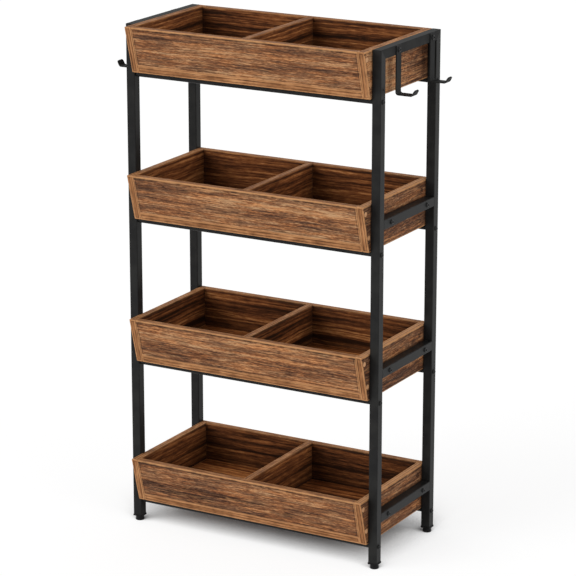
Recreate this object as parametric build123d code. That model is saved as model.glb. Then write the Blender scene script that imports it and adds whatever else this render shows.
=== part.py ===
from build123d import *
from math import cos, hypot, radians, sin
import os

# Snack display rack: a welded frame of square steel tube that carries four open wooden boxes.
# Millimetres. X runs across the rack, Y from front to back, Z up. The feet stand on Z = 0.

# Frame
FRAME_WIDTH = 600.0
FRAME_DEPTH = 264.0
RIM_HEIGHT = 1100.0
TUBE = 20.0
TUBE_WALL = 1.5
TUBE_CORNER = 1.5
CROSSBAR_RADIUS = 6.0
CROSSBAR_WALL = 1.5
RAIL_DROP = 36.0
POST_HOLE_RADIUS = 1.8
POST_HOLE_RISE = 19.0

# Boxes
TIER_COUNT = 4
LOWEST_FLOOR = 55.0
BOX_HEIGHT = 100.0
BOARD = 15.0
RIM_OVERHANG = 36.0
SILL_OVERHANG = 8.0
EDGE_EASE = 0.7
GROOVE_DEPTH = 4.0
DIVIDER_CLEARANCE = 0.3

# Bolts with a domed head and a hexagon socket, and what they screw into
BOLT_RADIUS = 3.0
BOLT_HOLE_CLEARANCE = 0.3
BOLT_HEAD_RADIUS = 5.25
BOLT_HEAD_RIM = 1.0
BOLT_HEAD_HEIGHT = 3.3
BOLT_CROWN_RADIUS = 3.0
BOLT_DOME_RADIUS = 4.0
SOCKET_SIDES = 6
SOCKET_RADIUS = 2.3
SOCKET_DEPTH = 1.8
THREAD_LENGTH = 11.0
PLUG_LENGTH = 14.0
INSERT_RADIUS = 4.4
INSERT_LENGTH = 12.0
BOX_BOLT_INSET = 52.0

# Screws through the box sides, with covers where they show
SCREW_RADIUS = 2.2
SCREW_HEAD_RADIUS = 4.2
SCREW_HEAD_HEIGHT = 2.0
SCREW_LENGTH = 45.0
SCREW_SPACING = 52.0
COVER_RADIUS = 5.2
COVER_THICKNESS = 1.0
COVER_EASE = 0.4

# Hooks bent from a flat strap
HOOK_WIDTH = 20.0
HOOK_SHEET = 2.5
HOOK_TOP_DROP = 1.0
HOOK_LEG = 100.0
HOOK_ARM = 37.0
HOOK_TIP = 13.0
HOOK_TIP_RISE = 62.0
HOOK_TIP_ROUNDING = 5.0
HOOK_FOOT_BEND = 5.0
HOOK_TIP_BEND = 5.0
HOOK_INSET = 57.0
HOOK_OFFSET = 15.0

# Feet: a pad on a threaded stud, screwed into the end cap of each post
PAD_HEIGHT = 10.0
PAD_RADIUS = 9.25
PAD_NECK_RADIUS = 8.0
PAD_RIM = 5.0
PAD_SEAT_DEPTH = 6.0
FOOT_GAP = 0.3
CAP_SIZE = 22.0
CAP_CORNER = 2.0
CAP_FLANGE = 3.0
CAP_PLUG = 14.0
CAP_FIT = 0.1
STUD_RADIUS = 4.0
STUD_ABOVE_CAP = 5.0
RUNNING_FIT = 0.05

# Places that follow from the sizes above
TIERS = range(1, TIER_COUNT + 1)
TOP_TIER = TIER_COUNT
TIER_PITCH = (RIM_HEIGHT - BOX_HEIGHT - LOWEST_FLOOR) / (TIER_COUNT - 1)
SIDES = {"left": -1, "right": 1}
CAP_OVERHANG = (CAP_SIZE - TUBE) / 2
BACK = (FRAME_DEPTH + RIM_OVERHANG - CAP_OVERHANG) / 2
POST_FRONT = BACK - FRAME_DEPTH
RIM_FRONT = POST_FRONT - RIM_OVERHANG
SILL_FRONT = POST_FRONT - SILL_OVERHANG
POST_MIDDLES = {"front": POST_FRONT + TUBE / 2, "back": BACK - TUBE / 2}
POST_SIDE = FRAME_WIDTH / 2
BOX_SIDE = POST_SIDE - TUBE
INNER_SIDE = BOX_SIDE - BOARD
CAP_BASE = PAD_HEIGHT + FOOT_GAP
POST_BASE = CAP_BASE + CAP_FLANGE
LEAN_PER_HEIGHT = (SILL_FRONT - RIM_FRONT) / BOX_HEIGHT
FRONT_BOARD = BOARD * hypot(1, LEAN_PER_HEIGHT)
GROOVE_SIDE = BOARD / 2 + DIVIDER_CLEARANCE
BOLT_HOLE_RADIUS = BOLT_RADIUS + BOLT_HOLE_CLEARANCE


def rim(tier):
    """Height of a box's rim."""
    return RIM_HEIGHT - (TOP_TIER - tier) * TIER_PITCH


def floor(tier):
    """Height of a box's underside."""
    return rim(tier) - BOX_HEIGHT


def front_face(tier, height):
    """Y of the leaning front at a height."""
    return SILL_FRONT - LEAN_PER_HEIGHT * (height - floor(tier))


def rail_middle(tier):
    """Height of the middle of a tier's side rails."""
    top = rim(tier) if tier == TOP_TIER else rim(tier) - RAIL_DROP
    return top - TUBE / 2


def crossbar_middle(tier):
    """Height of the axis of the crossbars that a box sits on."""
    return floor(tier) - CROSSBAR_RADIUS


def bolt_places(tier, side):
    """Y and Z of the two bolts that hold one side of a box."""
    inset, offset = BOX_BOLT_INSET, 0
    if tier == TOP_TIER:
        inset, offset = HOOK_INSET, SIDES[side] * HOOK_OFFSET
    return [(y + offset, rail_middle(tier)) for y in (POST_FRONT + inset, BACK - inset)]


def along_x(x, y, z, direction):
    """A plane at a point, facing along X in the given direction."""
    return Plane(origin=(x, y, z), x_dir=(0, 1, 0), z_dir=(direction, 0, 0))


def rod_x(x, y, z, direction, radius, length):
    """A round rod that starts at a point and runs along X."""
    return along_x(x, y, z, direction) * extrude(Circle(radius), length)


def yz_prism(points, x_low, x_high):
    """A solid with a polygon of Y and Z points, between two X planes."""
    outline = Plane.YZ.offset(x_low) * make_face(Polyline(*points, close=True))
    return extrude(outline, x_high - x_low, dir=(1, 0, 0))


def square_tube(plane, length):
    """A length of the frame's tube, from a plane along its normal."""
    bore = TUBE - 2 * TUBE_WALL
    section = RectangleRounded(TUBE, TUBE, TUBE_CORNER) - Rectangle(bore, bore)
    return extrude(plane * section, length)


def domed_bolt(x, y, z, side, grip):
    """A bolt whose head bears on a point of an outer face and whose shank runs inwards."""
    rim_end = (BOLT_HEAD_RADIUS, BOLT_HEAD_RIM)
    crown_end = (BOLT_CROWN_RADIUS, BOLT_HEAD_HEIGHT)
    straight = Polyline(crown_end, (0, BOLT_HEAD_HEIGHT), (0, 0), (BOLT_HEAD_RADIUS, 0), rim_end)
    dome = RadiusArc(rim_end, crown_end, -BOLT_DOME_RADIUS)
    head = revolve(Plane.XZ * make_face([straight, dome]), Axis.Z)
    socket = extrude(RegularPolygon(SOCKET_RADIUS, SOCKET_SIDES), SOCKET_DEPTH)
    head -= Pos(0, 0, BOLT_HEAD_HEIGHT - SOCKET_DEPTH) * socket
    shank = extrude(Circle(BOLT_RADIUS), -(grip + THREAD_LENGTH))
    return along_x(x, y, z, SIDES[side]) * (head + shank)


def eased(panel):
    """A panel with its sharp edges taken off."""
    return chamfer(panel.edges(), EDGE_EASE)


def export(name, *solids):
    """Writes one node, a single piece or a group of alike pieces."""
    shape = solids[0] if len(solids) == 1 else Compound(children=list(solids))
    export_step(shape, f"parts/{name}.step")


# Frame of posts, side rails and crossbars


def mitre(end, is_rail):
    """The half of a top corner that the mitre takes off a rail or a post."""
    outer = POST_FRONT if end == "front" else BACK
    inner = outer + TUBE if end == "front" else outer - TUBE
    lost_corner = (outer, RIM_HEIGHT - TUBE) if is_rail else (inner, RIM_HEIGHT)
    points = [(outer, RIM_HEIGHT), (inner, RIM_HEIGHT - TUBE), lost_corner]
    return yz_prism(points, -POST_SIDE, POST_SIDE)


def post(end, side):
    x = SIDES[side] * (POST_SIDE - TUBE / 2)
    y = POST_MIDDLES[end]
    solid = square_tube(Plane(origin=(x, y, POST_BASE)), RIM_HEIGHT - POST_BASE)
    solid -= mitre(end, is_rail=False)
    for tier in TIERS:
        solid -= rod_x(
            SIDES[side] * POST_SIDE, y, crossbar_middle(tier), -SIDES[side], BOLT_HOLE_RADIUS, TUBE
        )
    if end == "front":
        z = floor(TOP_TIER) + POST_HOLE_RISE
        solid -= rod_x(SIDES[side] * POST_SIDE, y, z, -SIDES[side], POST_HOLE_RADIUS, TUBE_WALL)
    return solid


def side_rail(side, tier):
    start, stop = POST_FRONT + TUBE, BACK - TUBE
    if tier == TOP_TIER:
        start, stop = POST_FRONT, BACK
    x = SIDES[side] * (POST_SIDE - TUBE / 2)
    plane = Plane(origin=(x, start, rail_middle(tier)), x_dir=(1, 0, 0), z_dir=(0, 1, 0))
    solid = square_tube(plane, stop - start)
    if tier == TOP_TIER:
        solid -= mitre("front", is_rail=True)
        solid -= mitre("back", is_rail=True)
    for y, z in bolt_places(tier, side):
        solid -= rod_x(SIDES[side] * POST_SIDE, y, z, -SIDES[side], BOLT_HOLE_RADIUS, TUBE)
    return solid


def crossbar(end, tier):
    place = (-BOX_SIDE, POST_MIDDLES[end], crossbar_middle(tier), 1)
    bore = rod_x(*place, CROSSBAR_RADIUS - CROSSBAR_WALL, 2 * BOX_SIDE)
    return rod_x(*place, CROSSBAR_RADIUS, 2 * BOX_SIDE) - bore


def crossbar_plug(end, tier, side):
    place = (SIDES[side] * BOX_SIDE, POST_MIDDLES[end], crossbar_middle(tier), -SIDES[side])
    thread = rod_x(*place, BOLT_RADIUS, PLUG_LENGTH)
    return rod_x(*place, CROSSBAR_RADIUS - CROSSBAR_WALL, PLUG_LENGTH) - thread


def crossbar_bolt(end, tier, side):
    x = SIDES[side] * POST_SIDE
    return domed_bolt(x, POST_MIDDLES[end], crossbar_middle(tier), side, TUBE)


# Boxes


def box_bolt(y, z, tier, side):
    strap = HOOK_SHEET if tier == TOP_TIER else 0
    return domed_bolt(SIDES[side] * (POST_SIDE + strap), y, z, side, strap + TUBE)


def insert_nut(y, z, side):
    place = (SIDES[side] * BOX_SIDE, y, z, -SIDES[side])
    thread = rod_x(*place, BOLT_RADIUS, INSERT_LENGTH)
    return rod_x(*place, INSERT_RADIUS, INSERT_LENGTH) - thread


def screw_places(tier):
    """Y and Z of the screws into the front and the back of a box."""
    middle = (floor(tier) + BOARD + rim(tier)) / 2
    heights = [middle + end * SCREW_SPACING / 2 for end in (-1, 1)]
    front = [(front_face(tier, z) + FRONT_BOARD / 2, z) for z in heights]
    back = [(BACK - BOARD / 2, z) for z in heights]
    return front, back


def panel_screw(y, z, side):
    """A flat-headed screw, flush with the outer face of a box side."""
    outline = Polyline(
        (0, 0),
        (SCREW_HEAD_RADIUS, 0),
        (SCREW_RADIUS, -SCREW_HEAD_HEIGHT),
        (SCREW_RADIUS, -SCREW_LENGTH),
        (0, -SCREW_LENGTH),
        close=True,
    )
    screw = revolve(Plane.XZ * make_face(outline), Axis.Z)
    return along_x(SIDES[side] * BOX_SIDE, y, z, SIDES[side]) * screw


def screw_cover(y, z, side):
    cover = extrude(Circle(COVER_RADIUS), COVER_THICKNESS)
    cover = chamfer(cover.edges().sort_by(Axis.Z)[-1], COVER_EASE)
    return along_x(SIDES[side] * BOX_SIDE, y, z, SIDES[side]) * cover


def side_screws(tier, side):
    """All the screws of one box side."""
    front, back = screw_places(tier)
    return [panel_screw(y, z, side) for y, z in front + back]


def side_inserts(tier, side):
    """Both threaded inserts of one box side."""
    return [insert_nut(y, z, side) for y, z in bolt_places(tier, side)]


def side_panel(tier, side):
    outline = [(SILL_FRONT, floor(tier)), (BACK, floor(tier)), (BACK, rim(tier)), (RIM_FRONT, rim(tier))]
    low, high = sorted((SIDES[side] * INNER_SIDE, SIDES[side] * BOX_SIDE))
    solid = eased(yz_prism(outline, low, high))
    for screw in side_screws(tier, side):
        solid -= screw
    for y, z in bolt_places(tier, side):
        solid -= rod_x(SIDES[side] * BOX_SIDE, y, z, -SIDES[side], INSERT_RADIUS, INSERT_LENGTH)
    return solid


def front_outline(tier, inset):
    """The section of the leaning front, from its inset outer face to its inner face."""
    low, high = floor(tier) + BOARD, rim(tier)
    return [
        (front_face(tier, low) + inset, low),
        (front_face(tier, low) + FRONT_BOARD, low),
        (front_face(tier, high) + FRONT_BOARD, high),
        (front_face(tier, high) + inset, high),
    ]


def front_panel(tier):
    solid = eased(yz_prism(front_outline(tier, 0), -INNER_SIDE, INNER_SIDE))
    groove = front_outline(tier, FRONT_BOARD - GROOVE_DEPTH)
    solid -= yz_prism(groove, -GROOVE_SIDE, GROOVE_SIDE)
    for side in SIDES:
        for screw in side_screws(tier, side):
            solid -= screw
    return solid


def back_outline(tier, thickness):
    """The section of the back, of the given thickness from its inner face."""
    inner = BACK - BOARD
    low, high = floor(tier) + BOARD, rim(tier)
    return [(inner, low), (inner + thickness, low), (inner + thickness, high), (inner, high)]


def back_panel(tier):
    solid = eased(yz_prism(back_outline(tier, BOARD), -INNER_SIDE, INNER_SIDE))
    groove = back_outline(tier, GROOVE_DEPTH)
    solid -= yz_prism(groove, -GROOVE_SIDE, GROOVE_SIDE)
    for side in SIDES:
        for screw in side_screws(tier, side):
            solid -= screw
    return solid


def bottom_panel(tier):
    low, high = floor(tier), floor(tier) + BOARD
    outline = [(front_face(tier, low), low), (BACK, low), (BACK, high), (front_face(tier, high), high)]
    return eased(yz_prism(outline, -INNER_SIDE, INNER_SIDE))


def divider(tier):
    """A board that stands in the grooves of the front and the back, and lifts out."""
    low, high = floor(tier) + BOARD + DIVIDER_CLEARANCE, rim(tier)
    groove_floor = FRONT_BOARD - GROOVE_DEPTH + DIVIDER_CLEARANCE
    rear = BACK - BOARD + GROOVE_DEPTH - DIVIDER_CLEARANCE
    outline = [
        (front_face(tier, low) + groove_floor, low),
        (rear, low),
        (rear, high),
        (front_face(tier, high) + groove_floor, high),
    ]
    return eased(yz_prism(outline, -BOARD / 2, BOARD / 2))


# Hooks


def hook(end_index, side):
    """A strap down the outer face of the top rail, then out and up to a round tip."""
    middle = HOOK_SHEET / 2
    rise = radians(HOOK_TIP_RISE)
    tip_start = (POST_SIDE + HOOK_ARM, RIM_HEIGHT - HOOK_LEG)
    centre_line = FilletPolyline(
        (POST_SIDE + middle, RIM_HEIGHT - HOOK_TOP_DROP),
        (POST_SIDE + middle, RIM_HEIGHT - HOOK_LEG),
        tip_start,
        (tip_start[0] + HOOK_TIP * cos(rise), tip_start[1] + HOOK_TIP * sin(rise)),
        radius=(HOOK_FOOT_BEND, HOOK_TIP_BEND),
    )
    y, z = bolt_places(TOP_TIER, side)[end_index]
    path = Plane(origin=(0, y, 0), x_dir=(1, 0, 0), z_dir=(0, -1, 0)) * centre_line
    section = Plane(origin=path @ 0, x_dir=(0, 1, 0), z_dir=path % 0) * Rectangle(HOOK_WIDTH, HOOK_SHEET)
    strap = sweep(section, path=path)
    end_face = strap.faces().sort_by_distance(path @ 1)[0]
    strap = fillet(end_face.edges().sort_by(SortBy.LENGTH)[:2], HOOK_TIP_ROUNDING)
    strap -= rod_x(POST_SIDE, y, z, 1, BOLT_HOLE_RADIUS, HOOK_SHEET)
    return strap if side == "right" else mirror(strap, about=Plane.YZ)


# Feet


def post_foot(end, side):
    """X and Y of the middle of a post."""
    return SIDES[side] * (POST_SIDE - TUBE / 2), POST_MIDDLES[end]


def end_cap(end, side):
    plug_size = TUBE - 2 * TUBE_WALL - 2 * CAP_FIT
    cap = extrude(RectangleRounded(CAP_SIZE, CAP_SIZE, CAP_CORNER), CAP_FLANGE)
    cap += extrude(Rectangle(plug_size, plug_size), CAP_FLANGE + CAP_PLUG)
    cap -= extrude(Circle(STUD_RADIUS + RUNNING_FIT), CAP_FLANGE + CAP_PLUG)
    return Pos(*post_foot(end, side), CAP_BASE) * cap


def foot_stud(end, side):
    length = POST_BASE + CAP_PLUG + STUD_ABOVE_CAP - (PAD_HEIGHT - PAD_SEAT_DEPTH)
    stud = extrude(Circle(STUD_RADIUS), length)
    return Pos(*post_foot(end, side), PAD_HEIGHT - PAD_SEAT_DEPTH) * stud


def foot_pad(end, side):
    outline = Polyline(
        (0, 0),
        (PAD_RADIUS - EDGE_EASE, 0),
        (PAD_RADIUS, EDGE_EASE),
        (PAD_RADIUS, PAD_RIM),
        (PAD_NECK_RADIUS, PAD_HEIGHT),
        (0, PAD_HEIGHT),
        close=True,
    )
    pad = revolve(Plane.XZ * make_face(outline), Axis.Z)
    seat = extrude(Circle(STUD_RADIUS + RUNNING_FIT), PAD_SEAT_DEPTH + RUNNING_FIT)
    pad -= Pos(0, 0, PAD_HEIGHT - PAD_SEAT_DEPTH - RUNNING_FIT) * seat
    return Pos(*post_foot(end, side), 0) * pad


# All the pieces, one file a node

os.makedirs("parts", exist_ok=True)

for end in POST_MIDDLES:
    for side in SIDES:
        export(f"post_{end}_{side}", post(end, side))
        export(f"foot_stud_{end}_{side}", foot_stud(end, side))
        export(f"foot_pad_{end}_{side}", foot_pad(end, side))
export("post_end_caps", *[end_cap(end, side) for end in POST_MIDDLES for side in SIDES])

for side in SIDES:
    export(f"top_rail_{side}", side_rail(side, TOP_TIER))
    for end_index, end in enumerate(POST_MIDDLES):
        export(f"hook_{end}_{side}", hook(end_index, side))

for tier in TIERS:
    if tier != TOP_TIER:
        for side in SIDES:
            export(f"side_rail_{side}_tier_{tier}", side_rail(side, tier))
    export(f"crossbars_tier_{tier}", *[crossbar(end, tier) for end in POST_MIDDLES])
    for side in SIDES:
        export(f"side_panel_{side}_tier_{tier}", side_panel(tier, side))
    export(f"front_panel_tier_{tier}", front_panel(tier))
    export(f"back_panel_tier_{tier}", back_panel(tier))
    export(f"bottom_panel_tier_{tier}", bottom_panel(tier))
    export(f"divider_tier_{tier}", divider(tier))

joints = [(end, tier, side) for end in POST_MIDDLES for tier in TIERS for side in SIDES]
export("crossbar_bolts", *[crossbar_bolt(*joint) for joint in joints])
export("crossbar_plugs", *[crossbar_plug(*joint) for joint in joints])

box_sides = [(tier, side) for tier in TIERS for side in SIDES]
export(
    "box_bolts",
    *[box_bolt(y, z, tier, side) for tier, side in box_sides for y, z in bolt_places(tier, side)],
)
export("insert_nuts", *[nut for tier, side in box_sides for nut in side_inserts(tier, side)])
export("panel_screws", *[screw for tier, side in box_sides for screw in side_screws(tier, side)])
export(
    "screw_covers",
    *[screw_cover(y, z, side) for tier, side in box_sides for y, z in screw_places(tier)[0]],
)
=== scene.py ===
from math import cos, pi, radians, sin

import bpy
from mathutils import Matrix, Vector


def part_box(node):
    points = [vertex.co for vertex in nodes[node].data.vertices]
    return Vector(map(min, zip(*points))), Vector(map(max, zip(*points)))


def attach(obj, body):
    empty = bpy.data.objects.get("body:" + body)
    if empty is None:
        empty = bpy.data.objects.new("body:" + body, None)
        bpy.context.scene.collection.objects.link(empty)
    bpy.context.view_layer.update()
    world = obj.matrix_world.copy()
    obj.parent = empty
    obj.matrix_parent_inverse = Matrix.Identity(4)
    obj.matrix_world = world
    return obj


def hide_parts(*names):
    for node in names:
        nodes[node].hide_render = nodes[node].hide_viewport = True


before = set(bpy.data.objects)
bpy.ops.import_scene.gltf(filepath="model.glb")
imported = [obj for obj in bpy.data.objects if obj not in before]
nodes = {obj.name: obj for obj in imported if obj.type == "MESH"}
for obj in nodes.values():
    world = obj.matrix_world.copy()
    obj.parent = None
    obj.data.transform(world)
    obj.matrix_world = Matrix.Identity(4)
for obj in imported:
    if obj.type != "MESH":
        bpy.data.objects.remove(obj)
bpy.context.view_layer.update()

# Looks of a snack display rack: streaky wooden boxes in a black frame.
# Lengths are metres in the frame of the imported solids.

TIERS = (1, 2, 3, 4)
TOP_TIER = TIERS[-1]
MIDDLE_TIERS = TIERS[1:-1]
SIDES = ("left", "right")
ENDS = ("front", "back")

# Numbers of the axes, and directions along them
X, Y, Z = range(3)
X_AXIS = (1.0, 0.0, 0.0)
Y_AXIS = (0.0, 1.0, 0.0)
Z_AXIS = (0.0, 0.0, 1.0)
TO_LEFT = (-1.0, 0.0, 0.0)
TO_FRONT = (0.0, -1.0, 0.0)
NOWHERE = (0.0, 0.0, 0.0)

WHITE = (1.0, 1.0, 1.0, 1.0)
MIDDLE = 0.5  # the value round which every noise varies


def shade(red, green, blue):
    """A display colour, 0 to 255, as linear light."""
    def linear(value):
        share = value / 255
        return share / 12.92 if share <= 0.04045 else ((share + 0.055) / 1.055) ** 2.4
    return linear(red), linear(green), linear(blue), 1.0


class Graph:
    """Adds shader nodes to a tree in short calls that return sockets."""

    def __init__(self, tree):
        self.tree = tree

    def feed(self, socket, value):
        if isinstance(value, bpy.types.NodeSocket):
            self.tree.links.new(value, socket)
        else:
            socket.default_value = value

    def node(self, kind, inputs=None, **settings):
        made = self.tree.nodes.new(kind)
        for name, value in settings.items():
            setattr(made, name, value)
        for name, value in (inputs or {}).items():
            self.feed(made.inputs[name], value)
        return made

    def math(self, operation, *values):
        made = self.node("ShaderNodeMath", operation=operation)
        for socket, value in zip(made.inputs, values):
            self.feed(socket, value)
        return made.outputs[0]

    def total(self, *weighted):
        """The sum of values, each given with its weight."""
        result = 0.0
        for value, weight in weighted:
            result = self.math("MULTIPLY_ADD", value, weight, result)
        return result

    def choose(self, factor, first, second):
        """The first value where the factor is 0, and the second where it is 1."""
        return self.math("MULTIPLY_ADD", self.math("SUBTRACT", second, first), factor, first)

    def vector(self, operation, *values):
        made = self.node("ShaderNodeVectorMath", operation=operation)
        for socket, value in zip(made.inputs, values):
            self.feed(socket, value)
        return made.outputs["Value" if operation in ("DOT_PRODUCT", "LENGTH") else "Vector"]

    def split(self, value):
        return self.node("ShaderNodeSeparateXYZ", {"Vector": value}).outputs

    def join(self, x, y, z):
        return self.node("ShaderNodeCombineXYZ", {"X": x, "Y": y, "Z": z}).outputs[0]

    def rise(self, value, start, end):
        """0 up to start, 1 from end on, and a smooth rise between them."""
        inputs = {"Value": value, "From Min": start, "From Max": end}
        return self.node("ShaderNodeMapRange", inputs, interpolation_type="SMOOTHSTEP").outputs[0]

    def spread(self, value, start, end, low, high):
        """Low up to start, high from end on, and a straight line between them."""
        inputs = {"Value": value, "From Min": start, "From Max": end, "To Min": low, "To Max": high}
        return self.node("ShaderNodeMapRange", inputs).outputs[0]

    def mix(self, factor, first, second, blend="MIX"):
        made = self.node("ShaderNodeMix", data_type="RGBA", blend_type=blend)
        factor_socket = made.inputs[0]
        first_socket, second_socket = (s for s in made.inputs if s.type == "RGBA")
        for socket, value in ((factor_socket, factor), (first_socket, first), (second_socket, second)):
            self.feed(socket, value)
        return next(s for s in made.outputs if s.type == "RGBA")

    def noise(self, place, stretch, detail, rough):
        inputs = {
            "Vector": self.vector("MULTIPLY", place, stretch),
            "Scale": 1.0,
            "Detail": detail,
            "Roughness": rough,
        }
        return self.node("ShaderNodeTexNoise", inputs).outputs[0]

    def open_sky(self, reach, samples, **more):
        """1 in the open, and less the more other surfaces lie within reach."""
        inputs = {"Distance": reach, **more}
        return self.node("ShaderNodeAmbientOcclusion", inputs, samples=samples).outputs["AO"]

    def ramp(self, value, stops):
        made = self.node("ShaderNodeValToRGB", {"Fac": value})
        elements = made.color_ramp.elements
        while len(elements) < len(stops):
            elements.new(1.0)
        for element, (position, tint) in zip(elements, stops):
            element.position = position
            element.color = tint
        return made.outputs[0]

    def bump(self, height, strength, distance):
        inputs = {"Height": height, "Strength": strength, "Distance": distance}
        return self.node("ShaderNodeBump", inputs).outputs[0]


def new_material(name):
    """A node material, its shader and a graph to add to it."""
    material = bpy.data.materials.new(name)
    material.use_nodes = True
    return material, material.node_tree.nodes["Principled BSDF"], Graph(material.node_tree)


def add_object(name, data):
    """Puts a mesh, light or camera into the scene."""
    made = bpy.data.objects.new(name, data)
    bpy.context.scene.collection.objects.link(made)
    return made


def dress(piece, material):
    """Makes this the only material of a piece."""
    piece.data.materials.clear()
    piece.data.materials.append(material)


# Wood
# A noise is given by its stretch, detail and roughness. A range is where a smooth rise starts and ends.
# A fade is where a straight change starts and ends, with the values there.

BORDER_TINT = shade(190, 139, 94)
PORE_TINT = shade(58, 40, 31)
# Colour of the painted shade in corners and where pieces meet
PAINTED_SHADE_TINT = shade(22, 12, 7)
SKY_SAMPLES = 8
WOOD_SPECULAR = 0.05
WOOD_ROUGHNESS = (0.3, 0.7, 0.5, 0.72)
FINE_HEIGHT = 1.0
FLECK_HEIGHT = 0.8
PORE_HEIGHT = -0.5
WOOD_BUMP = 0.5
WOOD_DEPTH = 0.0006

BOARD_INPUTS = (
    ("Low", "Vector"),
    ("High", "Vector"),
    ("Thick", "Vector"),
    ("Inside", "Vector"),
    ("Inside Both", "Float"),
    ("Inside Tint", "Color"),
    ("Along X", "Float"),
    ("Lean Front", "Float"),
    ("Lean Back", "Float"),
    ("Fineness", "Float"),
    ("Seed", "Float"),
    ("Box Seed", "Float"),
    ("Shade", "Float"),
    ("Rim Shade", "Float"),
)
BOARD_OUTPUTS = (("Color", "Color"), ("Roughness", "Float"), ("Normal", "Vector"))

# Grain and outer faces: noises that stretch along the grain and lie close across it
BEND = ((4.0, 18.0, 18.0), 2.0, 0.5)
BEND_WIDTH = 0.02
GRAIN = {
    "broad": ((2.4, 30.0, 30.0), 3.0, 0.55),
    "streak": ((6.0, 150.0, 150.0), 4.0, 0.65),
    "fleck": ((38.0, 300.0, 300.0), 4.0, 0.7),
    "fine": ((11.0, 560.0, 560.0), 3.0, 0.65),
    "speck": ((130.0, 430.0, 430.0), 2.0, 0.5),
    "wash": ((16.0, 130.0, 130.0), 3.0, 0.6),
    "smudge": ((9.0, 60.0, 60.0), 5.0, 0.68),
    "ridge": ((3.5, 75.0, 75.0), 2.0, 0.5),
    "ring": ((3.0, 22.0, 22.0), 1.0, 0.5),
    "pore": ((40.0, 700.0, 700.0), 1.0, 0.5),
}
TONE_SHARES = {"broad": 0.13, "streak": 0.27, "fleck": 0.24, "fine": 0.19, "speck": 0.17}
TONE_FADE = (0.425, 0.575, 0.1, 1.08)
FACE_STOPS = (
    (0.0, shade(58, 38, 27)),
    (0.25, shade(86, 59, 44)),
    (0.5, shade(119, 80, 55)),
    (0.7, shade(143, 98, 66)),
    (0.87, shade(167, 118, 79)),
    (1.0, shade(193, 145, 101)),
)
RED_WASH = (1.07, 0.94, 0.84, 1.0)
GREY_WASH = (0.93, 1.03, 1.16, 1.0)
WASH_RANGE = (0.36, 0.64)
SMUDGE_RANGE = (0.54, 0.7)
SMUDGE_SHARE = 0.5
RIDGE_FADE = (0.0, 0.014, 0.55, 0.0)
RING_COUNT = 11.0
RING_RANGE = (0.4, 0.5)
RING_SHARE = 0.35
PORE_RANGE = (0.58, 0.7)
PORE_SHARE = 0.55


def grain_layers(g, plain):
    """The noises that make up the grain, by name, on lines that bend a little."""
    bend = g.math("MULTIPLY", g.math("SUBTRACT", g.noise(plain, *BEND), MIDDLE), BEND_WIDTH)
    grain = g.vector("ADD", plain, g.join(0.0, bend, bend))
    layers = {name: g.noise(grain, *noise) for name, noise in GRAIN.items()}
    layers["pore"] = g.rise(layers["pore"], *PORE_RANGE)
    return layers


def stain(g, wood, place, share):
    """Darkens wood in places by a share."""
    return g.mix(g.math("MULTIPLY", place, share), wood, PORE_TINT)


def outer_wood(g, given, layers):
    """The outer face of a board: brown streaks with smudges, pale lines, rings and pores."""
    tone = g.total(*((layers[name], share) for name, share in TONE_SHARES.items()))
    wood = g.ramp(g.math("ADD", g.spread(tone, *TONE_FADE), given["Shade"]), FACE_STOPS)
    wash = g.mix(g.rise(layers["wash"], *WASH_RANGE), RED_WASH, GREY_WASH)
    wood = g.mix(1.0, wood, wash, "MULTIPLY")
    wood = stain(g, wood, g.rise(layers["smudge"], *SMUDGE_RANGE), SMUDGE_SHARE)
    ridge = g.math("ABSOLUTE", g.math("SUBTRACT", layers["ridge"], MIDDLE))
    wood = g.mix(g.spread(ridge, *RIDGE_FADE), wood, BORDER_TINT)
    ring = g.math("FRACT", g.math("MULTIPLY", layers["ring"], RING_COUNT))
    ring = g.math("ABSOLUTE", g.math("SUBTRACT", ring, MIDDLE))
    wood = stain(g, wood, g.rise(ring, *RING_RANGE), RING_SHARE)
    return stain(g, wood, layers["pore"], PORE_SHARE)


# Inside of the boxes: streaks along a wall, close in height
INNER_WAVE = ((6.0, 1.0, 20.0), 2.0, 0.5)
INNER_WAVE_WIDTH = 0.012
INNER_BAND = ((2.0, 1.0, 70.0), 3.0, 0.6)
INNER_LINE = ((4.0, 1.0, 260.0), 3.0, 0.6)
INNER_BAND_SHARE = 0.4
INNER_LINE_SHARE = 0.34
INNER_FLECK_SHARE = 0.26
INNER_FADE = (0.4, 0.6, 0.0, 1.0)
# Inside colours, darker and redder than the outer faces: partly the wood's own tone, partly painted shade
INNER_STOPS = (
    (0.0, shade(42, 24, 13)),
    (0.3, shade(80, 46, 25)),
    (0.55, shade(116, 69, 38)),
    (0.8, shade(152, 97, 55)),
    (1.0, shade(194, 134, 81)),
)
# Painted shade in the corners of a box: how near other surfaces count, and how dark walls and bottoms get
CORNER_REACH = 0.12
CORNER_FADE = (0.3, 0.8, 1.0, 0.0)
WALL_CORNER_SHADE = 0.72
BOTTOM_CORNER_SHADE = 0.3


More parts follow.
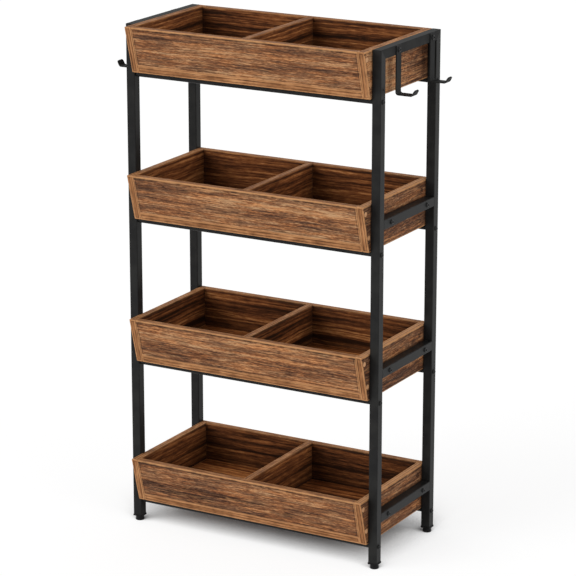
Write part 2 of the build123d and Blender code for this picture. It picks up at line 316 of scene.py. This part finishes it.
def inner_wood(g, given, place, along, fleck):
    """Strong streaks that run round the inside of a box at one height, with painted shade in its corners.
    """
    lies_flat = g.split(given["Thick"])[Z]
    level = g.choose(lies_flat, g.split(place)[Z], g.split(place)[Y])
    spot = g.join(along, given["Box Seed"], level)
    wave = g.math("SUBTRACT", g.noise(spot, *INNER_WAVE), MIDDLE)
    spot = g.join(along, given["Box Seed"], g.math("MULTIPLY_ADD", wave, INNER_WAVE_WIDTH, level))
    band = g.noise(spot, *INNER_BAND)
    line = g.noise(spot, *INNER_LINE)
    tone = g.total((band, INNER_BAND_SHARE), (line, INNER_LINE_SHARE), (fleck, INNER_FLECK_SHARE))
    wood = g.ramp(g.math("ADD", g.spread(tone, *INNER_FADE), given["Shade"]), INNER_STOPS)
    # Painted shade: darker where other surfaces lie near, in the corners of the box
    corner = g.spread(g.open_sky(CORNER_REACH, SKY_SAMPLES), *CORNER_FADE)
    corner_shade = g.math("MULTIPLY", corner, g.choose(lies_flat, WALL_CORNER_SHADE, BOTTOM_CORNER_SHADE))
    wood = g.mix(corner_shade, wood, PAINTED_SHADE_TINT)
    return g.mix(1.0, wood, given["Inside Tint"], "MULTIPLY")


# Narrow faces: lines along the board
RIM_LINE = ((10.0, 430.0, 1.0), 3.0, 0.6)
RIM_PATCH = ((30.0, 80.0, 1.0), 4.0, 0.6)
RIM_LINE_SHARE = 0.55
RIM_PATCH_SHARE = 0.45
RIM_FADE = (0.37, 0.63, 0.0, 1.0)
RIM_STOPS = (
    (0.0, shade(96, 61, 38)),
    (0.4, shade(132, 88, 56)),
    (0.8, shade(166, 115, 75)),
    (1.0, shade(192, 140, 96)),
)
UPWARD_RANGE = (0.3, 0.7)
END_SHADE = 0.15


def rim_wood(g, given, place, offset, normal):
    """The rims and ends of a board. A rim, which faces up, is lightened by painted light of its own; an
    end gets a fixed lift.
    """
    x, y, z = g.split(place)
    beside = g.math("ADD", y, z)
    run = g.choose(given["Along X"], beside, x)
    rest = g.choose(given["Along X"], x, beside)
    spot = g.vector("ADD", g.join(run, rest, 0.0), offset)
    line = g.noise(spot, *RIM_LINE)
    patch = g.noise(spot, *RIM_PATCH)
    tone = g.spread(g.total((line, RIM_LINE_SHARE), (patch, RIM_PATCH_SHARE)), *RIM_FADE)
    # Painted light: rims that face up are lighter than ends
    faces_up = g.rise(g.split(normal)[Z], *UPWARD_RANGE)
    lighter = g.choose(faces_up, END_SHADE, given["Rim Shade"])
    return g.ramp(g.math("ADD", tone, lighter), RIM_STOPS)


# Worn and highlit edges: distances from an edge, and how far a patchy noise bares the pale borders, which
# are partly worn and partly painted highlight, or spares the dark lines
WEAR_AND_SHEEN = ((60.0, 60.0, 60.0), 3.0, 0.6)
BORDER_START = 0.0012
BORDER_END = 0.003
BORDER_WEAR_AND_SHEEN = (0.35, 0.65, 0.4, 0.95)
INNER_BORDER_SHARE = 0.4
LINE_START = 0.0035
LINE_END = 0.0062
LINE_WEAR = (0.4, 0.6, 0.85, 0.3)
RIM_EDGE_START = 0.0028
RIM_EDGE_END = 0.0044
RIM_EDGE_WEAR_AND_SHEEN = (0.35, 0.65, 0.35, 0.95)
UNDER_RIM_START = 0.0058
UNDER_RIM_END = 0.0085
UNDER_RIM_WEAR = (0.4, 0.6, 0.85, 0.25)
# Painted shade where an outer face meets another piece: how near it reaches and how it fades
CREASE_REACH = 0.008
CREASE_FADE = (0.45, 0.92, 0.8, 0.0)


def pair_gap(g, value, low, high):
    """Distance from a value to the nearer of two limits."""
    return g.math("MINIMUM", g.math("SUBTRACT", value, low), g.math("SUBTRACT", high, value))


def edge_distance(g, given, place):
    """Distance along the surface of a board to its nearest edge, with leaning fronts allowed for."""
    x, y, z = g.split(place)
    low_x, low_y, low_z = g.split(given["Low"])
    high_x, high_y, high_z = g.split(given["High"])
    front = g.math("MULTIPLY_ADD", given["Lean Front"], g.math("SUBTRACT", high_z, z), low_y)
    fall = g.math("MULTIPLY", given["Lean Back"], g.math("SUBTRACT", z, low_z))
    back = g.math("SUBTRACT", high_y, fall)
    gap_x = pair_gap(g, x, low_x, high_x)
    gap_y = pair_gap(g, y, front, back)
    gap_z = pair_gap(g, z, low_z, high_z)
    smaller = g.math("MINIMUM", gap_x, gap_y)
    larger = g.math("MAXIMUM", gap_x, gap_y)
    return g.math("MAXIMUM", smaller, g.math("MINIMUM", larger, gap_z))


def below_rim(g, given, place):
    """Distance down from the top of a board."""
    return g.math("SUBTRACT", g.split(given["High"])[Z], g.split(place)[Z])


def rim_edge(g, given, place):
    """1 in the narrow strip along the top of a board."""
    past_edge = g.rise(below_rim(g, given, place), RIM_EDGE_START, RIM_EDGE_END)
    return g.math("SUBTRACT", 1.0, past_edge)


def worn_and_highlit_edges(g, given, place, wear_and_sheen, turned_in, surface):
    """A pale border along the edges of a board, partly worn and partly painted highlight, and a dark line
    beside it.
    """
    to_edge = edge_distance(g, given, place)
    line_starts = g.rise(to_edge, BORDER_END, LINE_START)
    line = g.math("SUBTRACT", line_starts, g.rise(to_edge, LINE_START, LINE_END))
    surface = g.mix(g.math("MULTIPLY", line, g.spread(wear_and_sheen, *LINE_WEAR)), surface, PORE_TINT)
    # Pale border: partly worn, partly painted highlight
    border = g.math("SUBTRACT", 1.0, g.rise(to_edge, BORDER_START, BORDER_END))
    border = g.math("MULTIPLY", border, g.spread(wear_and_sheen, *BORDER_WEAR_AND_SHEEN))
    inner_border = g.math("MULTIPLY", rim_edge(g, given, place), INNER_BORDER_SHARE)
    border = g.math("MULTIPLY", border, g.choose(turned_in, 1.0, inner_border))
    return g.mix(border, surface, BORDER_TINT)


def worn_and_highlit_rim(g, given, place, wear_and_sheen, outward, surface):
    """A pale strip along the top of an outer face, partly worn and partly painted highlight, and a dark
    line under it.
    """
    # Pale strip at the top: partly worn, partly painted highlight
    edge = rim_edge(g, given, place)
    pale = g.math("MULTIPLY", edge, g.spread(wear_and_sheen, *RIM_EDGE_WEAR_AND_SHEEN))
    surface = g.mix(g.math("MULTIPLY", pale, outward), surface, BORDER_TINT)
    past_line = g.rise(below_rim(g, given, place), UNDER_RIM_START, UNDER_RIM_END)
    line = g.math("SUBTRACT", g.math("SUBTRACT", 1.0, edge), past_line)
    line = g.math("MULTIPLY", line, g.spread(wear_and_sheen, *UNDER_RIM_WEAR))
    return g.mix(g.math("MULTIPLY", line, outward), surface, PORE_TINT)


def crease_shade(g, outward, surface):
    """Painted shade where an outer face meets another piece."""
    crease = g.spread(g.open_sky(CREASE_REACH, SKY_SAMPLES), *CREASE_FADE)
    return g.mix(g.math("MULTIPLY", crease, outward), surface, PAINTED_SHADE_TINT)


# The whole board
SEED_SHIFT = (3.7, 1.9, 2.3)
TURNED_IN_RANGE = (0.4, 0.8)
FLAT_RANGE = (0.45, 0.75)


def board_group():
    """The look of a board: streaked faces, lined edges and light borders that are partly worn and partly
    painted highlight.
    """
    tree = bpy.data.node_groups.new("board", "ShaderNodeTree")
    for direction, sockets in (("INPUT", BOARD_INPUTS), ("OUTPUT", BOARD_OUTPUTS)):
        for name, kind in sockets:
            tree.interface.new_socket(name, in_out=direction, socket_type="NodeSocket" + kind)
    g = Graph(tree)
    given = g.node("NodeGroupInput").outputs
    result = g.node("NodeGroupOutput").inputs
    coordinates = g.node("ShaderNodeTexCoord").outputs
    place = coordinates["Object"]
    normal = coordinates["Normal"]
    x, y, z = g.split(place)
    along = g.choose(given["Along X"], y, x)
    across = g.math("MULTIPLY", g.choose(given["Along X"], x, y), given["Fineness"])
    upward = g.math("MULTIPLY", z, given["Fineness"])
    offset = g.vector("SCALE", SEED_SHIFT)
    g.feed(offset.node.inputs["Scale"], given["Seed"])
    plain = g.vector("ADD", g.join(along, across, upward), offset)
    layers = grain_layers(g, plain)

    turned_in = g.rise(g.vector("DOT_PRODUCT", normal, given["Inside"]), *TURNED_IN_RANGE)
    turned_in = g.math("MAXIMUM", turned_in, given["Inside Both"])
    inner = inner_wood(g, given, place, along, layers["fleck"])
    face = g.mix(turned_in, outer_wood(g, given, layers), inner)
    is_face = g.math("ABSOLUTE", g.vector("DOT_PRODUCT", normal, given["Thick"]))
    is_face = g.rise(is_face, *FLAT_RANGE)
    surface = g.mix(is_face, rim_wood(g, given, place, offset, normal), face)

    wear_and_sheen = g.noise(plain, *WEAR_AND_SHEEN)
    outward = g.math("SUBTRACT", is_face, turned_in)
    surface = worn_and_highlit_edges(g, given, place, wear_and_sheen, turned_in, surface)
    surface = worn_and_highlit_rim(g, given, place, wear_and_sheen, outward, surface)
    g.feed(result["Color"], crease_shade(g, outward, surface))
    g.feed(result["Roughness"], g.spread(layers["streak"], *WOOD_ROUGHNESS))
    heights = (
        (layers["fine"], FINE_HEIGHT),
        (layers["fleck"], FLECK_HEIGHT),
        (layers["pore"], PORE_HEIGHT),
    )
    g.feed(result["Normal"], g.bump(g.total(*heights), WOOD_BUMP, WOOD_DEPTH))
    return tree


# Boards of the boxes

side_low, side_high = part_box("side_panel_left_tier_1")
bottom_low, bottom_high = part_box("bottom_panel_tier_1")
LEAN = (bottom_low.y - side_low.y) / (side_high.z - bottom_high.z)

# Tints of the inner faces, painted light and shade: floors and the inner faces of left walls and dividers
# lighter, the other inner walls a little darker
WALL_TINT = (0.96, 0.96, 0.97, 1.0)
LEFT_WALL_TINT = (1.05, 1.05, 1.07, 1.0)
BOTTOM_TINT = (1.25, 1.17, 1.1, 1.0)
DIVIDER_TINT = (1.14, 1.12, 1.12, 1.0)

# For each kind of board: direction of its thickness, direction and painted light tint of its inner face,
# whether the grain runs along X, how much its front and back faces lean, and how much painted light
# lightens its rim
BOARD_KINDS = {
    "front_panel": (Y_AXIS, Y_AXIS, WALL_TINT, 1.0, LEAN, LEAN, 0.1),
    "back_panel": (Y_AXIS, TO_FRONT, WALL_TINT, 1.0, 0.0, 0.0, 0.3),
    "bottom_panel": (Z_AXIS, Z_AXIS, BOTTOM_TINT, 1.0, LEAN, 0.0, 0.3),
    "side_panel_left": (X_AXIS, X_AXIS, LEFT_WALL_TINT, 0.0, LEAN, 0.0, 0.32),
    "side_panel_right": (X_AXIS, TO_LEFT, WALL_TINT, 0.0, LEAN, 0.0, 0.8),
    "divider": (X_AXIS, NOWHERE, DIVIDER_TINT, 0.0, LEAN, 0.0, 0.25),
}
# The top tier's rims, with no box above to shade them, get less of the painted light
TOP_RIM_SHARE = 0.3
TOP_RIM_DARKER = 0.1
TIER_SEED = 1.37
KIND_SEED = 7.1
BOX_SEED = 2.3

# How much closer the grain lies than on the other boards
PLAIN_FINENESS = 1.0
FINENESS = {
    "front_panel_tier_4": 1.6,
    "front_panel_tier_3": 1.35,
    "front_panel_tier_2": 1.3,
    "front_panel_tier_1": 1.3,
}

# Streaks and knots of single boards: place along the grain, distance across it from the board's
# lower or front end, half its length, half its breadth, and how much lighter it is
MID_BOARD = 0.05
ALL_OVER = 5.0


def whole_board(lighter):
    """A mark that covers a whole board."""
    return 0.0, MID_BOARD, ALL_OVER, ALL_OVER, lighter


TOP_FRONT_MARKS = (
    (-0.2, 0.066, 0.14, 0.009, -0.24),
    (-0.24, 0.05, 0.06, 0.018, -0.16),
    (-0.16, 0.012, 0.12, 0.005, -0.2),
    (0.18, 0.034, 0.13, 0.012, -0.16),
    (0.1, 0.056, 0.18, 0.005, 0.2),
    (0.0, 0.004, 0.4, 0.008, 0.18),
    whole_board(0.07),
)
THIRD_FRONT_MARKS = (
    (-0.2, 0.066, 0.14, 0.009, -0.3),
    (-0.24, 0.05, 0.06, 0.018, -0.2),
    (-0.16, 0.012, 0.12, 0.005, -0.25),
    (0.18, 0.034, 0.13, 0.014, -0.2),
    (0.1, 0.056, 0.18, 0.006, 0.25),
    (0.0, 0.004, 0.4, 0.008, 0.2),
    whole_board(0.12),
)
LOWER_FRONT_MARKS = (
    (-0.19, 0.026, 0.16, 0.018, -0.3),
    (0.12, 0.034, 0.2, 0.005, -0.25),
    (-0.1, 0.048, 0.22, 0.004, 0.25),
    (0.0, 0.075, 0.3, 0.01, 0.15),
    (0.1, 0.02, 0.016, 0.007, -0.4),
)
BOTTOM_MARKS = (
    # Lighter left half: painted light
    (-0.15, 0.15, 0.14, 0.25, 0.25),
    (-0.05, 0.2, 0.03, 0.012, -0.5),
    (-0.1, 0.17, 0.04, 0.006, -0.4),
    (0.1, 0.16, 0.05, 0.01, 0.35),
)
LIGHT_BOTTOM_BACK = (0.14, 0.25, 0.16, 0.1, 0.28)
# Painted shadow of the front post on the front end of a right side panel
POST_SHADOW_ON_SIDE_END = (-0.13, 0.05, 0.04, 0.3, -0.15)
# Right side panels of the lower tiers: a small dark dot, painted shade over the whole board, and the
# post's painted shadow
SIDE_MARKS = ((0.11, 0.08, 0.007, 0.005, -0.6), whole_board(-0.1), POST_SHADOW_ON_SIDE_END)
TOP_SIDE_MARKS = ((-0.1, 0.04, 0.12, 0.3, 0.5), (0.08, 0.04, 0.1, 0.3, -0.12), POST_SHADOW_ON_SIDE_END)
MARKS = {
    "front_panel_tier_4": TOP_FRONT_MARKS,
    "front_panel_tier_3": THIRD_FRONT_MARKS,
    "front_panel_tier_2": LOWER_FRONT_MARKS + (whole_board(0.07),),
    "front_panel_tier_1": LOWER_FRONT_MARKS + (whole_board(-0.07), (0.16, 0.06, 0.2, 0.06, 0.16)),
    "back_panel_tier_4": ((0.2, 0.08, 0.12, 0.06, -0.25),),
    "back_panel_tier_3": ((-0.14, 0.05, 0.18, 0.3, 0.12),),
    "back_panel_tier_2": (whole_board(0.06),),
    "back_panel_tier_1": (whole_board(-0.1), (0.14, 0.08, 0.2, 0.07, -0.15)),
    "side_panel_left_tier_3": (whole_board(0.15),),
}
for tier in TIERS:
    MARKS[f"bottom_panel_tier_{tier}"] = BOTTOM_MARKS
    MARKS[f"side_panel_right_tier_{tier}"] = TOP_SIDE_MARKS if tier == TOP_TIER else SIDE_MARKS
for tier in MIDDLE_TIERS:
    MARKS[f"bottom_panel_tier_{tier}"] += (LIGHT_BOTTOM_BACK,)

# Noise that breaks up the outline of a mark, how strong it is, and where the mark fades
RAGGED = ((30.0, 200.0, 200.0), 4.0, 0.7)
RAGGED_SHARE = 3.5
MARK_RANGE = (0.2, 1.4)


def mark_shade(g, marks, along_axis, across_axis, start):
    """How much the marks lighten or darken each point of a board."""
    place = g.node("ShaderNodeTexCoord").outputs["Object"]
    parts = g.split(place)
    ragged = g.math("SUBTRACT", g.noise(place, *RAGGED), MIDDLE)
    result = 0.0
    for along, away, half_length, half_breadth, lighter in marks:
        run = g.math("DIVIDE", g.math("SUBTRACT", parts[along_axis], along), half_length)
        side = g.math("DIVIDE", g.math("SUBTRACT", parts[across_axis], start + away), half_breadth)
        reach = g.vector("LENGTH", g.join(run, side, 0.0))
        fade = g.rise(g.total((ragged, RAGGED_SHARE), (reach, 1.0)), *MARK_RANGE)
        result = g.math("ADD", result, g.spread(fade, 0.0, 1.0, lighter, 0.0))
    return result


def board_material(look, kind, tier):
    """Wood for one board, with its own stretch of grain."""
    name = f"{kind}_tier_{tier}"
    low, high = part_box(name)
    thick, inside, tint, along_x, lean_front, lean_back, rim_shade = BOARD_KINDS[kind]
    if tier == TOP_TIER:
        rim_shade = rim_shade * TOP_RIM_SHARE - TOP_RIM_DARKER
    material, shader, g = new_material("wood_" + name)
    board = g.node("ShaderNodeGroup", node_tree=look)
    values = {
        "Low": low,
        "High": high,
        "Thick": thick,
        "Inside": inside,
        "Inside Both": 1.0 if inside == NOWHERE else 0.0,
        "Inside Tint": tint,
        "Along X": along_x,
        "Lean Front": lean_front,
        "Lean Back": lean_back,
        "Fineness": FINENESS.get(name, PLAIN_FINENESS),
        "Seed": tier * TIER_SEED + list(BOARD_KINDS).index(kind) * KIND_SEED,
        "Box Seed": tier * BOX_SEED,
        "Rim Shade": rim_shade,
    }
    for socket, value in values.items():
        board.inputs[socket].default_value = value
    if name in MARKS:
        along = X if along_x else Y
        across = Y if thick == Z_AXIS else Z
        g.feed(board.inputs["Shade"], mark_shade(g, MARKS[name], along, across, low[across]))
    g.feed(shader.inputs["Base Color"], board.outputs["Color"])
    g.feed(shader.inputs["Roughness"], board.outputs["Roughness"])
    g.feed(shader.inputs["Normal"], board.outputs["Normal"])
    shader.inputs["Specular IOR Level"].default_value = WOOD_SPECULAR
    dress(nodes[name], material)


board_look = board_group()
for tier in TIERS:
    for kind in BOARD_KINDS:
        board_material(board_look, kind, tier)


# Metal and plastic

CLOUD = ((24.0, 24.0, 24.0), 4.0, 0.6)
CLOUD_RANGE = (0.35, 0.65)
GLOSS_START = 0.3
GLOSS_END = 0.7
SMOOTHER = 0.05
ROUGHER = 0.06
GRAIN_DETAIL = 2.0
GRAIN_ROUGH = 0.5
COAT_BUMP = 0.35


def speckled(name, dark, light, roughness, grain, depth, metallic=0.0, specular=0.5):
    """A metal, coat or plastic of two close tints with a fine uneven surface."""
    material, shader, g = new_material(name)
    place = g.node("ShaderNodeTexCoord").outputs["Object"]
    cloud = g.noise(place, *CLOUD)
    speck = g.noise(place, (grain, grain, grain), GRAIN_DETAIL, GRAIN_ROUGH)
    uneven = g.spread(cloud, GLOSS_START, GLOSS_END, roughness - SMOOTHER, roughness + ROUGHER)
    g.feed(shader.inputs["Base Color"], g.mix(g.rise(cloud, *CLOUD_RANGE), dark, light))
    g.feed(shader.inputs["Roughness"], uneven)
    g.feed(shader.inputs["Normal"], g.bump(speck, COAT_BUMP, depth))
    shader.inputs["Metallic"].default_value = metallic
    shader.inputs["Specular IOR Level"].default_value = specular
    return material


powder_coat = speckled(
    "powder_coat", shade(30, 30, 30), shade(38, 38, 37),
    roughness=0.36, grain=900.0, depth=0.0001, specular=0.08,
)
# A copy of the frame's black coat with less gloss, for the top rails and hooks; its lighter base colour is
# painted light
dull_coat = speckled(
    "dull_coat", shade(40, 40, 40), shade(48, 48, 47),
    roughness=0.5, grain=900.0, depth=0.0001, specular=0.025,
)
black_oxide = speckled(
    "black_oxide", shade(10, 10, 10), shade(17, 17, 16),
    roughness=0.36, grain=1500.0, depth=0.0001, specular=0.25,
)
black_plastic = speckled(
    "black_plastic", shade(12, 12, 12), shade(18, 18, 18),
    roughness=0.5, grain=700.0, depth=0.0002, specular=0.12,
)
cover_film = speckled(
    "cover_film", shade(182, 132, 90), shade(206, 158, 113),
    roughness=0.45, grain=300.0, depth=0.0002,
)
zinc = speckled(
    "zinc", shade(150, 152, 153), shade(182, 184, 186),
    roughness=0.34, grain=1200.0, depth=0.0001, metallic=1.0,
)

# The first start of a name that fits decides
NODE_LOOKS = (
    ("post_end_caps", black_plastic),
    ("foot_pad", black_plastic),
    ("foot_stud", zinc),
    ("crossbar_bolts", black_oxide),
    ("crossbar_plugs", zinc),
    ("box_bolts", black_oxide),
    ("insert_nuts", zinc),
    ("panel_screws", zinc),
    ("screw_covers", cover_film),
    ("post", powder_coat),
    ("top_rail", dull_coat),
    ("side_rail", powder_coat),
    ("crossbars", powder_coat),
    ("hook", dull_coat),
)

for name, node in nodes.items():
    for start, material in NODE_LOOKS:
        if name.startswith(start):
            dress(node, material)
            break


# Threads of the foot studs

THREAD_PITCH = 0.00125
THREAD_DEPTH = 0.0007
THREAD_SIDES = 24
THREAD_ROWS = 8
SHARP_EDGE = 60.0


def thread_radius(crest, angle, above, below):
    """Distance of a thread's surface from its axis, at a height above its start and below its end."""
    turn = above / THREAD_PITCH - angle / (2 * pi)
    wave = 1 - abs(2 * (turn % 1) - 1)
    run_out = min(1.0, above / THREAD_PITCH, below / THREAD_PITCH)
    return crest - THREAD_DEPTH * (1 - wave * run_out)


def thread_points(low, high, start):
    """Points of a stud in rings from its foot up. The thread begins at start."""
    middle = (low + high) / 2
    crest = high.x - middle.x
    count = int((high.z - start) / THREAD_PITCH * THREAD_ROWS)
    heights = [low.z] + [start + (high.z - start) * row / count for row in range(count + 1)]
    points = []
    for height in heights:
        for side in range(THREAD_SIDES):
            angle = 2 * pi * side / THREAD_SIDES
            radius = thread_radius(crest, angle, max(0.0, height - start), high.z - height)
            points.append((middle.x + radius * cos(angle), middle.y + radius * sin(angle), height))
    return points


def ring_faces(count):
    """Faces of a closed tube round rings of points, with a cap at each end."""
    rings = [range(first, first + THREAD_SIDES) for first in range(0, count, THREAD_SIDES)]
    faces = [tuple(reversed(rings[0])), tuple(rings[-1])]
    for under, over in zip(rings, rings[1:]):
        for side in range(THREAD_SIDES):
            after = (side + 1) % THREAD_SIDES
            faces.append((under[side], under[after], over[after], over[side]))
    return faces


def threaded_stud(foot):
    """A stud with a thread from the top of its pad to its own end, in the place of the plain solid."""
    node = "foot_stud_" + foot
    low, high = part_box(node)
    points = thread_points(low, high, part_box("foot_pad_" + foot)[1].z)
    mesh = bpy.data.meshes.new(node + "_thread")
    mesh.from_pydata(points, [], ring_faces(len(points)))
    mesh.shade_smooth()
    mesh.set_sharp_from_angle(angle=radians(SHARP_EDGE))
    stud = add_object(node + "_thread", mesh)
    dress(stud, zinc)
    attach(stud, node)
    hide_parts(node)


for end in ENDS:
    for side in SIDES:
        threaded_stud(f"{end}_{side}")


# Floor

FLOOR_HALF = 25.0
FLOOR_LIT = shade(240, 240, 240)
FLOOR_SEEN = shade(138, 138, 138)
FLOOR_ROUGHNESS = 0.9
FLOOR_GLOW = 0.8
# Painted contact shadow in the floor's glow: the side it looks to, how far it reaches, where it fades and
# how dark it gets
CONTACT_FROM = (0.3, -0.75, 0.5)
CONTACT_REACH = 0.3
CONTACT_START = 0.44
CONTACT_END = 0.8
CONTACT_DARKEST = 0.02
CONTACT_SAMPLES = 16


def seen_rays(g):
    """1 for rays from the camera, and for rays that reflect or pass through something."""
    ray = g.node("ShaderNodeLightPath").outputs
    mirrored = g.math("MAXIMUM", ray["Is Glossy Ray"], ray["Is Transmission Ray"])
    return g.math("MAXIMUM", ray["Is Camera Ray"], mirrored)


def pale_floor():
    """A wide white floor that keeps the shadow of the rack, and whose glow is dimmed near the rack as a
    painted contact shadow.
    """
    mesh = bpy.data.meshes.new("floor")
    corners = [(-FLOOR_HALF, -FLOOR_HALF, 0.0), (FLOOR_HALF, -FLOOR_HALF, 0.0)]
    corners += [(FLOOR_HALF, FLOOR_HALF, 0.0), (-FLOOR_HALF, FLOOR_HALF, 0.0)]
    mesh.from_pydata(corners, [], [(0, 1, 2, 3)])
    floor = add_object("floor", mesh)
    material, shader, g = new_material("pale_floor")
    seen = seen_rays(g)
    g.feed(shader.inputs["Base Color"], g.mix(seen, FLOOR_LIT, FLOOR_SEEN))
    shader.inputs["Roughness"].default_value = FLOOR_ROUGHNESS
    shader.inputs["Specular IOR Level"].default_value = 0.0
    # Painted contact shadow: the glow is dimmed where the rack lies near
    open_side = g.join(*Vector(CONTACT_FROM).normalized())
    contact = g.open_sky(CONTACT_REACH, CONTACT_SAMPLES, Normal=open_side)
    glow = g.spread(contact, CONTACT_START, CONTACT_END, CONTACT_DARKEST, FLOOR_GLOW)
    shader.inputs["Emission Color"].default_value = WHITE
    g.feed(shader.inputs["Emission Strength"], g.math("MULTIPLY", seen, glow))
    dress(floor, material)


# Light

HORIZON_STRENGTH = 0.85
ZENITH_STRENGTH = 0.45
KEY_FROM = (-0.5, -0.75, 0.45)
KEY_STRENGTH = 1.6
KEY_SOFTNESS = 40.0
FILL_FROM = (1.0, -0.3, 0.38)
FILL_STRENGTH = 0.6
FILL_SOFTNESS = 30.0


def white_world():
    """White where it is seen or mirrored, and elsewhere a plain soft light, strongest near the horizon."""
    world = bpy.data.worlds.new("white_world")
    world.use_nodes = True
    bpy.context.scene.world = world
    g = Graph(world.node_tree)
    background = world.node_tree.nodes["Background"]
    background.inputs["Color"].default_value = WHITE
    height = g.split(g.node("ShaderNodeTexCoord").outputs["Generated"])[Z]
    soft = g.spread(height, 0.0, 1.0, HORIZON_STRENGTH, ZENITH_STRENGTH)
    g.feed(background.inputs["Strength"], g.choose(seen_rays(g), soft, 1.0))


def broad_light(name, towards, strength, softness):
    """A broad soft light from far away in one direction."""
    light = bpy.data.lights.new(name, "SUN")
    light.energy = strength
    light.angle = radians(softness)
    lamp = add_object(name, light)
    lamp.rotation_euler = Vector(towards).to_track_quat("Z", "Y").to_euler()


# Camera, matched to the corners of the rack in the photograph

CAMERA_PLACE = (2.747, -4.8025, 2.132)
CAMERA_YAW = 29.56
CAMERA_PITCH = 16.04
CAMERA_LENS = 169.9
CAMERA_SENSOR = 36.0


def photo_camera():
    """A camera at the photograph's viewing angle."""
    data = bpy.data.cameras.new("camera")
    data.lens = CAMERA_LENS
    data.sensor_width = CAMERA_SENSOR
    camera = add_object("camera", data)
    camera.location = CAMERA_PLACE
    camera.rotation_euler = (radians(90 - CAMERA_PITCH), 0.0, radians(CAMERA_YAW))
    bpy.context.scene.camera = camera


pale_floor()
white_world()
broad_light("key", KEY_FROM, KEY_STRENGTH, KEY_SOFTNESS)
broad_light("fill", FILL_FROM, FILL_STRENGTH, FILL_SOFTNESS)
photo_camera()
bpy.context.scene.view_settings.view_transform = "Standard"
